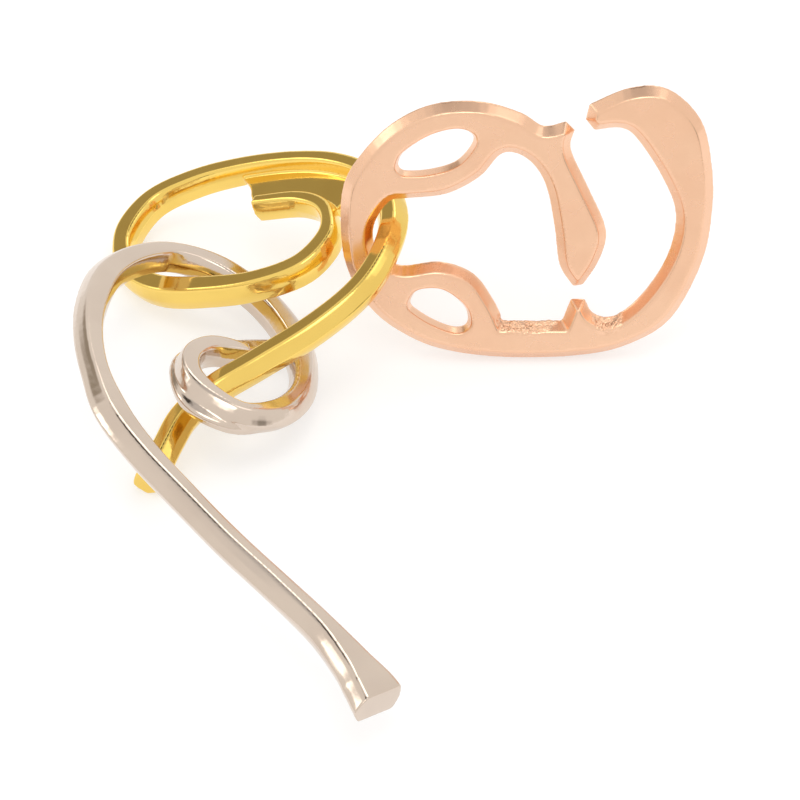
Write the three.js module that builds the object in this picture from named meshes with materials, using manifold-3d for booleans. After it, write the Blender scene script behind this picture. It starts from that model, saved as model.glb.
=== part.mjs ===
// Three-piece metal ring disentanglement puzzle: a gold spiral link, a silver hook with a
// coiled end and a copper plate, each one flat die casting, hooked loosely through each other.
// Millimetres, +Z up, the table at Z = 0.
import * as THREE from 'three';
import { mergeVertices } from 'three/addons/utils/BufferGeometryUtils.js';
import Module from 'manifold-3d';

const wasm = await Module();
wasm.setup();

// ---- driving dimensions ----------------------------------------------------------------
const THICKNESS = 3.5; // every casting is one flat slab this thick
const HALF = THICKNESS / 2;
const GOLD_EDGE = 0.25; // rounding between a flat face and the side wall
const SILVER_EDGE = 0.5;
const RING_BULGE = 0.55; // how far a side wall swells at mid thickness on the slim bars
const BAR_BULGE = 1.2; // the same on the heavy bars
const LEG_BULGE = 1.6; // the same on the outer side of the long ends
const PLATE_BULGE = 1.2; // the same on the plate's outside
const EYE_BULGE = 0.5; // the same inside the plate's two eyes
const STEPS_PER_SPAN = 6; // sections between two control points of a bar
const OUTLINE_STEPS = 5; // pieces between two control points of an outline
const FOOT_SLANT = 0.5; // lean of the silver foot's end face

// Each casting's place: where its own origin sits and how it lies.
const GOLD_POSE = { position: [-20.4, 41.8, 8.5], turn: [2.5, -23, -26.7] };
const SILVER_POSE = { position: [-18.1, 10.3, 6.2], turn: [-5.5, 19.3, 28.5] };
const COPPER_POSE = { position: [0.3, 22.3, -4.6], turn: [71.7, 0.2, -0.6] };

// Centre lines of the bars, each point [x, y, half width of the flat top, bulge on
// the right, bulge on the left] going along the bar.
const GOLD_LINE = [
  [0.7, 3.9, 0.7, RING_BULGE, RING_BULGE],
  [7.6, 4.4, 0.8, RING_BULGE, RING_BULGE],
  [12.2, 2.8, 0.8, RING_BULGE, RING_BULGE],
  [14.8, -0.2, 0.8, RING_BULGE, RING_BULGE],
  [15.8, -3.3, 1.1, RING_BULGE, RING_BULGE],
  [14.4, -8.0, 1.3, RING_BULGE, RING_BULGE],
  [8.8, -11.1, 1.2, RING_BULGE, RING_BULGE],
  [1.1, -12.2, 1.3, RING_BULGE, RING_BULGE],
  [-6.9, -11.8, 1.3, RING_BULGE, RING_BULGE],
  [-13.3, -8.5, 1.2, RING_BULGE, RING_BULGE],
  [-17.0, -4.0, 1.1, RING_BULGE, RING_BULGE],
  [-18.3, 0.5, 1.3, RING_BULGE, RING_BULGE],
  [-17.2, 5.6, 1.2, RING_BULGE, RING_BULGE],
  [-12.2, 9.3, 1.1, RING_BULGE, RING_BULGE],
  [-5.8, 11.4, 1.0, RING_BULGE, RING_BULGE],
  [1.9, 12.4, 0.9, RING_BULGE, RING_BULGE],
  [9.1, 11.9, 0.9, RING_BULGE, RING_BULGE],
  [15.9, 9.4, 0.9, RING_BULGE, RING_BULGE],
  [21.0, 5.1, 0.9, BAR_BULGE, BAR_BULGE],
  [24.5, -0.2, 1.0, BAR_BULGE, BAR_BULGE],
  [26.0, -6.4, 1.0, BAR_BULGE, BAR_BULGE],
  [25.6, -12.8, 1.1, BAR_BULGE, BAR_BULGE],
  [22.2, -19.4, 1.2, BAR_BULGE, BAR_BULGE],
  [16.5, -26.0, 1.2, BAR_BULGE, BAR_BULGE],
  [12.2, -30.7, 1.2, BAR_BULGE, BAR_BULGE],
  [10.1, -35.8, 1.1, BAR_BULGE, LEG_BULGE],
  [10.3, -40.8, 1.0, BAR_BULGE, LEG_BULGE],
  [11.0, -47.2, 1.1, BAR_BULGE, LEG_BULGE],
];

const SILVER_LINE = [
  [-15.5, -64.5, 2.9, RING_BULGE, BAR_BULGE],
  [-15.2, -61.5, 2.7, RING_BULGE, BAR_BULGE],
  [-15.4, -57.7, 2.0, RING_BULGE, BAR_BULGE],
  [-16.1, -51.0, 1.3, RING_BULGE, BAR_BULGE],
  [-18.1, -42.3, 1.1, RING_BULGE, LEG_BULGE],
  [-20.3, -33.8, 1.1, RING_BULGE, LEG_BULGE],
  [-22.1, -24.2, 1.1, RING_BULGE, LEG_BULGE],
  [-23.4, -15.6, 1.2, RING_BULGE, LEG_BULGE],
  [-23.6, -7.5, 1.3, RING_BULGE, LEG_BULGE],
  [-21.9, 2.0, 1.0, RING_BULGE, BAR_BULGE],
  [-18.7, 10.7, 1.1, RING_BULGE, BAR_BULGE],
  [-14.7, 17.7, 1.3, RING_BULGE, BAR_BULGE],
  [-9.5, 24.0, 1.4, RING_BULGE, BAR_BULGE],
  [-3.3, 27.7, 1.3, RING_BULGE, BAR_BULGE],
  [2.0, 28.5, 1.2, RING_BULGE, BAR_BULGE],
  [6.9, 26.0, 1.4, RING_BULGE, BAR_BULGE],
  [10.0, 20.6, 1.4, RING_BULGE, BAR_BULGE],
  [11.0, 14.4, 1.4, RING_BULGE, BAR_BULGE],
  [10.4, 7.7, 1.4, RING_BULGE, BAR_BULGE],
  [8.2, 1.8, 1.1, RING_BULGE, BAR_BULGE],
  [4.4, -3.7, 1.0, RING_BULGE, BAR_BULGE],
  [-0.7, -7.1, 1.1, RING_BULGE, BAR_BULGE],
  [-5.5, -7.2, 0.9, RING_BULGE, BAR_BULGE],
  [-8.5, -3.1, 1.1, RING_BULGE, BAR_BULGE],
  [-8.9, 1.2, 1.1, RING_BULGE, RING_BULGE],
  [-6.5, 5.3, 1.1, RING_BULGE, RING_BULGE],
  [-2.6, 7.0, 1.2, RING_BULGE, RING_BULGE],
  [1.8, 5.7, 0.8, RING_BULGE, RING_BULGE],
];

// ---- geometry helpers ------------------------------------------------------------------

// One side of a bar cut across, from its top down: a rounded edge, then a barrelled wall
// that is widest at mid height.
function barSide(top, bulge, edge) {
  const round = Math.min(edge, bulge / 2);
  const upper = [
    [top - round * 0.7, HALF],
    [top - round * 0.1, HALF - round * 0.25],
    [top + round * 0.4, HALF - round * 0.65],
    [top + round * 0.4 + (bulge - round * 0.4) * 0.6, (HALF - round * 0.65) / 2],
  ];
  const lower = upper.map(([across, up]) => [across, -up]).reverse();
  return [...upper, [top + bulge, 0], ...lower];
}

function bothSides(side, top, rightBulge, leftBulge, edge) {
  const right = side(top, rightBulge, edge);
  const left = side(top, leftBulge, edge).map(([across, up]) => [-across, up]).reverse();
  return right.concat(left);
}

// Rings of points joined to one closed body, with flat ends.
function closedBody(rings) {
  const around = rings[0].length;
  const positions = rings.flat(2);
  const index = [];
  for (let r = 0; r + 1 < rings.length; r += 1) {
    for (let k = 0; k < around; k += 1) {
      const a = r * around + k;
      const b = r * around + ((k + 1) % around);
      index.push(a, b, a + around, b, b + around, a + around);
    }
  }
  const last = (rings.length - 1) * around;
  for (let k = 1; k + 1 < around; k += 1) {
    index.push(0, k + 1, k);
    index.push(last, last + k, last + k + 1);
  }
  const geometry = new THREE.BufferGeometry();
  geometry.setAttribute('position', new THREE.Float32BufferAttribute(positions, 3));
  geometry.setIndex(index);
  return geometry;
}

// A flat bar along a smooth line through its control points, with its top edges rounded by
// edge. endSlant leans the first section along the bar, by that much per millimetre across.
function barGeometry(line, { side = barSide, edge = 0, endSlant = 0 }) {
  const centre = new THREE.CatmullRomCurve3(line.map(([x, y]) => new THREE.Vector3(x, y, 0)));
  const size = new THREE.CatmullRomCurve3(line.map(([, , ...sizes]) => new THREE.Vector3(...sizes)));
  const spans = (line.length - 1) * STEPS_PER_SPAN;
  const rings = [];
  for (let i = 0; i <= spans; i += 1) {
    const t = i / spans;
    const at = centre.getPoint(t);
    const along = centre.getTangent(t);
    const { x: top, y: rightBulge, z: leftBulge } = size.getPoint(t);
    const slant = endSlant * Math.max(0, 1 - i / STEPS_PER_SPAN);
    rings.push(bothSides(side, top, rightBulge, leftBulge, edge).map(([across, up]) => [
      at.x + along.y * across + along.x * slant * across,
      at.y - along.x * across + along.y * slant * across,
      up,
    ]));
  }
  return closedBody(rings);
}

// A smooth closed outline; a run that ends in a corner stops the curve there. Points
// nearer to a run's ends than clear are left out, so that walls set inwards don't fold.
function outline(runs, clear = 0) {
  const points = [];
  for (const run of runs) {
    const curve = new THREE.SplineCurve(run.map(([x, y]) => new THREE.Vector2(x, y)));
    const steps = (run.length - 1) * (run.length > 2 ? OUTLINE_STEPS : 1);
    const samples = curve.getPoints(steps);
    const [first, last] = [samples[0], samples[steps]];
    points.push(first);
    points.push(...samples.slice(1, steps).filter(
      (point) => Math.min(point.distanceTo(first), point.distanceTo(last)) >= clear,
    ));
  }
  return points;
}

// A slab from an outline, its walls swelling to a ridge at mid thickness.
function slabGeometry(points, bulge) {
  return new THREE.ExtrudeGeometry(new THREE.Shape(points), {
    depth: 0.02,
    steps: 1,
    bevelEnabled: true,
    bevelThickness: HALF - 0.01,
    bevelSize: bulge,
    bevelOffset: -bulge,
    bevelSegments: 1,
  }).translate(0, 0, -0.01);
}

function toSolid(geometry) {
  const bare = new THREE.BufferGeometry();
  bare.setAttribute('position', geometry.getAttribute('position').clone());
  if (geometry.index) {
    bare.setIndex(geometry.index.clone());
  }
  const merged = mergeVertices(bare, 1e-4);
  return new wasm.Manifold(new wasm.Mesh({
    numProp: 3,
    vertProperties: new Float32Array(merged.attributes.position.array),
    triVerts: new Uint32Array(merged.index.array),
  }));
}

function toGeometry(solid) {
  const mesh = solid.getMesh();
  const geometry = new THREE.BufferGeometry();
  geometry.setAttribute('position', new THREE.Float32BufferAttribute(mesh.vertProperties, 3));
  geometry.setIndex(new THREE.Uint32BufferAttribute(mesh.triVerts, 1));
  geometry.computeVertexNormals();
  return geometry;
}

// ---- the three castings ----------------------------------------------------------------

// Half-thickness web that closes the gold ring between its rail and its inner end.
const GOLD_WEB = [
  [[0.3, 4.1], [-1.5, 6.0], [-3.2, 8.5], [-6.4, 11.1]],
  [[-6.4, 11.1], [1.6, 12.2], [8.7, 11.7], [15.3, 9.2]],
  [[15.3, 9.2], [14.8, 6.6], [14.0, 3.9], [13.2, 1.4]],
  [[13.2, 1.4], [10.7, 3.4], [7.1, 4.3], [0.3, 4.1]],
];

function goldSpiral() {
  const bar = toSolid(barGeometry(GOLD_LINE, { edge: GOLD_EDGE }));
  const web = toSolid(new THREE.ExtrudeGeometry(new THREE.Shape(outline(GOLD_WEB)), {
    depth: HALF - 0.3, bevelEnabled: false,
  }).translate(0, 0, -HALF + 0.3));
  return toGeometry(bar.add(web));
}

// Half-thickness ledge outside the coil, from its lower left round to the incoming bar.
const LEDGE_LINE = [
  [-1.6, -7.4, 0.6, 0.6, 0.6],
  [-6.6, -7.5, 0.8, 0.9, 0.9],
  [-9.7, -4.2, 1.0, 1.0, 1.0],
  [-9.6, 0.6, 0.8, 1.0, 1.0],
  [-7.0, 5.4, 0.8, 1.0, 1.0],
  [-2.3, 8.0, 0.8, 1.0, 1.0],
  [3.9, 8.8, 0.8, 1.0, 1.0],
  [10.3, 9.0, 0.8, 0.8, 0.8],
];

function ledgeSide(top, bulge) {
  return [
    [top, -0.1],
    [top + bulge * 0.7, -0.4],
    [top + bulge, -HALF / 2],
    [top + bulge * 0.6, 0.05 - HALF],
  ];
}

function silverHook() {
  const bar = toSolid(barGeometry(SILVER_LINE, { edge: SILVER_EDGE, endSlant: FOOT_SLANT }));
  const ledge = toSolid(barGeometry(LEDGE_LINE, { side: ledgeSide }));
  return toGeometry(bar.add(ledge));
}

// The plate's outline at mid thickness, clockwise from the free end of its right arm.
const PLATE_EDGE = [
  [[24.1, 38.9], [29.3, 41.1], [34.2, 40.9], [38.4, 36.9], [39.9, 31.0], [40.1, 25.0], [38.9, 18.0],
    [35.0, 10.4], [29.4, 6.8], [23.2, 5.4], [14.7, 5.1], [7.4, 5.8], [2.0, 7.5], [-3.2, 11.1],
    [-6.6, 16.5], [-7.6, 22.0], [-7.3, 28.0], [-5.0, 32.3], [-1.0, 36.4], [4.1, 38.9], [10.2, 39.3],
    [15.5, 37.8], [18.3, 36.1], [21.2, 36.7]],
  [[21.2, 36.7], [22.4, 35.5]],
  [[22.4, 35.5], [21.9, 33.0], [24.0, 28.3], [26.5, 22.4], [25.7, 18.3], [23.6, 14.9]],
  [[23.6, 14.9], [22.3, 14.7]],
  [[22.3, 14.7], [20.5, 17.6], [19.8, 22.6], [18.6, 28.3], [16.3, 31.6], [13.2, 32.4], [10.3, 29.3],
    [6.0, 27.0], [1.0, 26.4], [-1.4, 25.9], [-3.3, 22.6], [-2.6, 19.0], [0.4, 17.6], [5.2, 18.1],
    [9.5, 16.5], [12.1, 13.0], [13.4, 10.2]],
  [[13.4, 10.2], [20.9, 10.2]],
  [[20.9, 10.2], [22.0, 13.1]],
  [[22.0, 13.1], [23.9, 13.1]],
  [[23.9, 13.1], [25.0, 11.2], [27.6, 10.8], [31.1, 13.7], [34.3, 18.9], [35.3, 24.3], [33.7, 28.9],
    [30.4, 34.1], [28.2, 35.7], [24.8, 35.4]],
  [[24.8, 35.4], [23.6, 36.9]],
  [[23.6, 36.9], [24.1, 38.9]],
];

const UPPER_EYE = [
  [[-0.2, 31.0], [0.6, 32.6], [4.0, 34.8], [7.6, 35.6], [9.4, 34.4], [7.4, 31.6], [4.0, 30.4], [0.6, 30.2], [-0.2, 31.0]],
];
const LOWER_EYE = [
  [[1.4, 12.8], [2.4, 14.2], [5.4, 14.3], [8.2, 12.2], [8.7, 10.0], [7.2, 9.3], [4.4, 10.3], [1.8, 12.0], [1.4, 12.8]],
];

// The hole that an eye leaves: two cutters that meet at mid thickness, where it is narrowest.
function eyeCutters(runs) {
  const beyond = 0.5;
  const make = (lift) => toSolid(new THREE.ExtrudeGeometry(new THREE.Shape(outline(runs)), {
    depth: beyond,
    bevelEnabled: true,
    bevelThickness: HALF,
    bevelSize: EYE_BULGE,
    bevelSegments: 1,
  }).translate(0, 0, lift));
  return [make(HALF - 0.01), make(0.01 - beyond - HALF)];
}

function copperPlate() {
  let plate = toSolid(slabGeometry(outline(PLATE_EDGE, PLATE_BULGE).reverse(), PLATE_BULGE));
  for (const eye of [UPPER_EYE, LOWER_EYE]) {
    for (const cutter of eyeCutters(eye)) {
      plate = plate.subtract(cutter);
    }
  }
  return toGeometry(plate);
}

// ---- assembly --------------------------------------------------------------------------

function castPiece(name, geometry, colour, pose) {
  const mesh = new THREE.Mesh(geometry, new THREE.MeshStandardMaterial({
    color: colour, metalness: 1, roughness: 0.15,
  }));
  mesh.name = name;
  mesh.position.set(...pose.position);
  mesh.rotation.set(...pose.turn.map(THREE.MathUtils.degToRad));
  return mesh;
}

const puzzle = new THREE.Group();
puzzle.name = 'ring_puzzle';
puzzle.add(
  castPiece('gold_spiral', goldSpiral(), 0xd9b23c, GOLD_POSE),
  castPiece('silver_hook', silverHook(), 0xc9c0b8, SILVER_POSE),
  castPiece('copper_plate', copperPlate(), 0xecbf9f, COPPER_POSE),
);

export default puzzle;
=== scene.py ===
"""Three-piece cast metal ring puzzle on a pale table: gold, nickel and copper plating."""

import math

import bpy
from mathutils import Matrix, Vector, noise as lumps


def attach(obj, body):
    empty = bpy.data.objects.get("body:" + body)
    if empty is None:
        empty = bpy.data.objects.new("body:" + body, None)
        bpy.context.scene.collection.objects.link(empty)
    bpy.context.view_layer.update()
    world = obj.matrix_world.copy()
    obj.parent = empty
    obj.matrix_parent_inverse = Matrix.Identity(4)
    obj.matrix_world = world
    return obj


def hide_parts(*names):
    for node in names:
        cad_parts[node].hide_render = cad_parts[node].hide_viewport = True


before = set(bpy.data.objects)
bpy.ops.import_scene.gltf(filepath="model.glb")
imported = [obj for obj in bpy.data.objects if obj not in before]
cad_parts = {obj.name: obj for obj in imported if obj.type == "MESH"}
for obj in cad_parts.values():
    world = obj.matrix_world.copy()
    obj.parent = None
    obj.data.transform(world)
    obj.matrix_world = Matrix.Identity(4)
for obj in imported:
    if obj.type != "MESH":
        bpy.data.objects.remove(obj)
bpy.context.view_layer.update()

# ---- driving values, in metres and degrees ------------------------------------------------
VOXEL = 0.00014  # how fine the castings' surfaces are
SMOOTHING = 12  # passes that round the castings' edges
CAMERA_DISTANCE = 0.629
CAMERA_ELEVATION = 36.07
CAMERA_AZIMUTH = 0.43
CAMERA_ROLL = -0.74
CAMERA_LENS = 221.4
AIM = Vector((0.0004, 0.0149, 0.0))  # the point on the table in the middle of the picture
SENSOR_WIDTH = 36.0  # millimetres
FLOOR_HALF_SIZE = 4.0
FLOOR_COLOUR = (0.5, 0.505, 0.515, 1.0)
FLOOR_GLOW = 0.56  # own light, so that shadows stay faint
STUDIO_WHITE = (0.96, 0.94, 0.91, 1.0)
MERGE_DISTANCE = 1e-6

# Soft patches round the object: azimuth, elevation, inner and outer radius in degrees, colour.
STUDIO = (
    (-8, 68, 9, 22, (0.66, 0.66, 0.66)),
    (-30, 24.5, 8, 14, (0.38, 0.34, 0.28)),
    (11, 37, 5, 9, (2.7, 2.65, 2.5)),
    (-11, 53, 5, 9, (0.05, 0.045, 0.04)),
    (-61, 32, 4, 10, (3.0, 2.95, 2.8)),
    (120, 12, 4, 16, (0.35, 0.33, 0.3)),
    (-150, 8, 3, 9, (0.3, 0.27, 0.22)),
    (180, 76, 10, 18, (2.8, 2.75, 2.6)),
    (62, 60, 6, 14, (1.7, 1.65, 1.6)),
)

# Where the plate's casting was left rough: centres and half sizes in metres.
ROUGH_SPOTS = (
    ((0.0167, 0.0255, 0.0051), (0.0046, 0.0032, 0.0016)),
    ((0.0272, 0.0255, 0.0051), (0.0022, 0.0032, 0.0017)),
)
ROUGH_DEPTH = 0.00016
ROUGH_SCALE = 900.0  # lumps per metre

# Noise scales of the plating, per metre.
CLOUD_SCALE = 90.0
WEAR_SCALE = 420.0
WAVE_SCALE = 260.0
PIT_SCALE = 3200.0

# Bump heights of the plating, in metres.
WAVE_HEIGHT = 0.00012
PIT_HEIGHT = 0.00002
GRAIN_HEIGHT = 0.0009


# ---- castings -----------------------------------------------------------------------------
def casting(node, body, name):
    """The CAD casting with a fine surface and the softly rounded edges of a polished casting."""
    piece = bpy.data.objects.new(name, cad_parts[node].data.copy())
    bpy.context.collection.objects.link(piece)
    weld = piece.modifiers.new("weld", "WELD")
    weld.merge_threshold = MERGE_DISTANCE
    remesh = piece.modifiers.new("fine", "REMESH")
    remesh.mode = "VOXEL"
    remesh.voxel_size = VOXEL
    rounded = piece.modifiers.new("rounded", "SMOOTH")
    rounded.factor = 0.5
    rounded.iterations = SMOOTHING
    depsgraph = bpy.context.evaluated_depsgraph_get()
    fine = bpy.data.meshes.new_from_object(piece.evaluated_get(depsgraph))
    piece.modifiers.clear()
    piece.data = fine
    fine.materials.clear()
    fine.shade_smooth()
    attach(piece, body)
    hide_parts(node)
    return piece


def roughen(piece, spots, depth):
    """Gives a casting the uneven surface of unpolished metal in the given spots."""
    mesh = piece.data
    normals = [vertex.normal.copy() for vertex in mesh.vertices]
    for vertex, normal in zip(mesh.vertices, normals):
        near = min(
            math.dist((0, 0, 0), [(vertex.co[k] - centre[k]) / half_size[k] for k in range(3)])
            for centre, half_size in spots
        )
        if near < 1.0:
            lump = lumps.fractal(vertex.co * ROUGH_SCALE, 1.0, 2.0, 3)
            vertex.co += normal * depth * lump * min(1.0, 4.0 * (1.0 - near))
    mesh.update()


# ---- materials ----------------------------------------------------------------------------
def noise(nodes, links, coordinates, scale, detail=3.0):
    texture = nodes.new("ShaderNodeTexNoise")
    texture.inputs["Scale"].default_value = scale
    texture.inputs["Detail"].default_value = detail
    links.new(coordinates, texture.inputs["Vector"])
    return texture.outputs["Fac"]


def spread(nodes, links, value, low, high, low_out, high_out):
    """Maps a value from one range to another."""
    node = nodes.new("ShaderNodeMapRange")
    node.inputs["From Min"].default_value = low
    node.inputs["From Max"].default_value = high
    node.inputs["To Min"].default_value = low_out
    node.inputs["To Max"].default_value = high_out
    links.new(value, node.inputs["Value"])
    return node.outputs["Result"]


def larger(nodes, links, first, second):
    node = nodes.new("ShaderNodeMath")
    node.operation = "MAXIMUM"
    links.new(first, node.inputs[0])
    links.new(second, node.inputs[1])
    return node.outputs[0]


def inside_spots(nodes, links, where, spots):
    """One inside the given soft-edged ellipsoids and zero outside."""
    total = None
    for centre, half_size in spots:
        offset = nodes.new("ShaderNodeVectorMath")
        offset.operation = "SUBTRACT"
        links.new(where, offset.inputs[0])
        offset.inputs[1].default_value = centre
        scaled = nodes.new("ShaderNodeVectorMath")
        scaled.operation = "DIVIDE"
        links.new(offset.outputs["Vector"], scaled.inputs[0])
        scaled.inputs[1].default_value = half_size
        reach = nodes.new("ShaderNodeVectorMath")
        reach.operation = "LENGTH"
        links.new(scaled.outputs["Vector"], reach.inputs[0])
        spot = spread(nodes, links, reach.outputs["Value"], 0.75, 1.0, 1.0, 0.0)
        total = spot if total is None else larger(nodes, links, total, spot)
    return total


def bump(nodes, links, height, strength, distance, normal=None):
    node = nodes.new("ShaderNodeBump")
    node.inputs["Distance"].default_value = distance
    if isinstance(strength, float):
        node.inputs["Strength"].default_value = strength
    else:
        links.new(strength, node.inputs["Strength"])
    links.new(height, node.inputs["Height"])
    if normal is not None:
        links.new(normal, node.inputs["Normal"])
    return node.outputs["Normal"]


def plated_metal(name, colour, dull_colour, roughness, waviness, rough_spots=()):
    """Polished plating: a colour that clouds a little, fine wear in the gloss, hand-polish waves,
    and the coarse grain of the casting in any rough_spots."""
    material = bpy.data.materials.new(name)
    material.use_nodes = True
    nodes = material.node_tree.nodes
    links = material.node_tree.links
    shader = nodes["Principled BSDF"]
    shader.inputs["Metallic"].default_value = 1.0
    where = nodes.new("ShaderNodeTexCoord").outputs["Object"]

    clouds = noise(nodes, links, where, CLOUD_SCALE)
    mix = nodes.new("ShaderNodeMix")
    mix.data_type = "RGBA"
    mix.inputs["A"].default_value = (*colour, 1.0)
    mix.inputs["B"].default_value = (*dull_colour, 1.0)
    links.new(spread(nodes, links, clouds, 0.42, 0.72, 0.0, 1.0), mix.inputs["Factor"])
    links.new(mix.outputs["Result"], shader.inputs["Base Color"])

    wear = noise(nodes, links, where, WEAR_SCALE, 6.0)
    gloss = spread(nodes, links, wear, 0.3, 0.75, roughness * 0.75, roughness * 1.35)
    links.new(gloss, shader.inputs["Roughness"])

    waves = noise(nodes, links, where, WAVE_SCALE, 1.0)
    surface = bump(nodes, links, waves, waviness, WAVE_HEIGHT)
    pits = noise(nodes, links, where, PIT_SCALE, 2.0)
    surface = bump(nodes, links, pits, 0.12, PIT_HEIGHT, surface)
    if rough_spots:
        grain = noise(nodes, links, where, ROUGH_SCALE, 4.0)
        rough = inside_spots(nodes, links, where, rough_spots)
        surface = bump(nodes, links, grain, rough, GRAIN_HEIGHT, surface)
    links.new(surface, shader.inputs["Normal"])
    return material


def paint(piece, material):
    piece.data.materials.append(material)


# ---- surroundings -------------------------------------------------------------------------
def floor():
    mesh = bpy.data.meshes.new("table")
    size = FLOOR_HALF_SIZE
    corners = [(-size, -size, 0), (size, -size, 0), (size, size, 0), (-size, size, 0)]
    mesh.from_pydata(corners, [], [(0, 1, 2, 3)])
    table = bpy.data.objects.new("table", mesh)
    bpy.context.collection.objects.link(table)
    material = bpy.data.materials.new("table_white")
    material.use_nodes = True
    shader = material.node_tree.nodes["Principled BSDF"]
    shader.inputs["Base Color"].default_value = FLOOR_COLOUR
    shader.inputs["Roughness"].default_value = 0.9
    shader.inputs["Emission Color"].default_value = (1.0, 1.0, 1.0, 1.0)
    shader.inputs["Emission Strength"].default_value = FLOOR_GLOW
    mesh.materials.append(material)


def towards(azimuth, elevation):
    """Unit vector; azimuth from the back (+Y) round to the right (+X), in degrees."""
    turn = math.radians(azimuth)
    rise = math.radians(elevation)
    return (math.sin(turn) * math.cos(rise), math.cos(turn) * math.cos(rise), math.sin(rise))


def patch(nodes, links, direction, below, azimuth, elevation, inner, outer, colour):
    """Lays a soft-edged round patch of light or dark over the studio colour below it."""
    near = nodes.new("ShaderNodeVectorMath")
    near.operation = "DOT_PRODUCT"
    links.new(direction, near.inputs[0])
    near.inputs[1].default_value = towards(azimuth, elevation)
    far_edge = math.cos(math.radians(outer))
    near_edge = math.cos(math.radians(inner))
    edge = spread(nodes, links, near.outputs["Value"], far_edge, near_edge, 0.0, 1.0)
    mix = nodes.new("ShaderNodeMix")
    mix.data_type = "RGBA"
    links.new(edge, mix.inputs["Factor"])
    links.new(below, mix.inputs["A"])
    mix.inputs["B"].default_value = (*colour, 1.0)
    return mix.outputs["Result"]


def studio():
    """A white studio with the dark flags and bright softboxes that polished metal shows."""
    world = bpy.data.worlds.new("studio")
    bpy.context.scene.world = world
    world.use_nodes = True
    nodes = world.node_tree.nodes
    links = world.node_tree.links
    direction = nodes.new("ShaderNodeTexCoord").outputs["Generated"]
    base = nodes.new("ShaderNodeRGB")
    base.outputs[0].default_value = STUDIO_WHITE
    colour = base.outputs[0]
    for spot in STUDIO:
        colour = patch(nodes, links, direction, colour, *spot)
    background = nodes["Background"]
    background.inputs["Strength"].default_value = 1.0
    links.new(colour, background.inputs["Color"])


def camera():
    lens = bpy.data.cameras.new("camera")
    lens.lens = CAMERA_LENS
    lens.sensor_width = SENSOR_WIDTH
    lens.clip_start = 0.01
    eye = bpy.data.objects.new("camera", lens)
    bpy.context.collection.objects.link(eye)
    elevation = math.radians(CAMERA_ELEVATION)
    azimuth = math.radians(CAMERA_AZIMUTH)
    away = Vector((
        math.sin(azimuth) * math.cos(elevation),
        -math.cos(azimuth) * math.cos(elevation),
        math.sin(elevation),
    ))
    turn = away.to_track_quat("Z", "Y").to_matrix().to_4x4()
    roll = Matrix.Rotation(math.radians(CAMERA_ROLL), 4, "Z")
    eye.matrix_world = Matrix.Translation(AIM + away * CAMERA_DISTANCE) @ turn @ roll
    bpy.context.scene.camera = eye


# ---- assembly -----------------------------------------------------------------------------
gold = casting("gold_spiral", "spiral", "gold_casting")
nickel = casting("silver_hook", "hook", "nickel_casting")
copper = casting("copper_plate", "plate", "copper_casting")
roughen(copper, ROUGH_SPOTS, ROUGH_DEPTH)
gold_metal = plated_metal("gold_plating", (0.93, 0.66, 0.17), (0.87, 0.6, 0.15), 0.11, 0.2)
nickel_metal = plated_metal("nickel_plating", (0.7, 0.59, 0.5), (0.65, 0.54, 0.455), 0.13, 0.2)
copper_metal = plated_metal(
    "copper_plating", (0.9, 0.575, 0.39), (0.87, 0.53, 0.35), 0.24, 0.3, ROUGH_SPOTS)
paint(gold, gold_metal)
paint(nickel, nickel_metal)
paint(copper, copper_metal)
floor()
studio()
camera()
bpy.context.scene.view_settings.view_transform = "Standard"
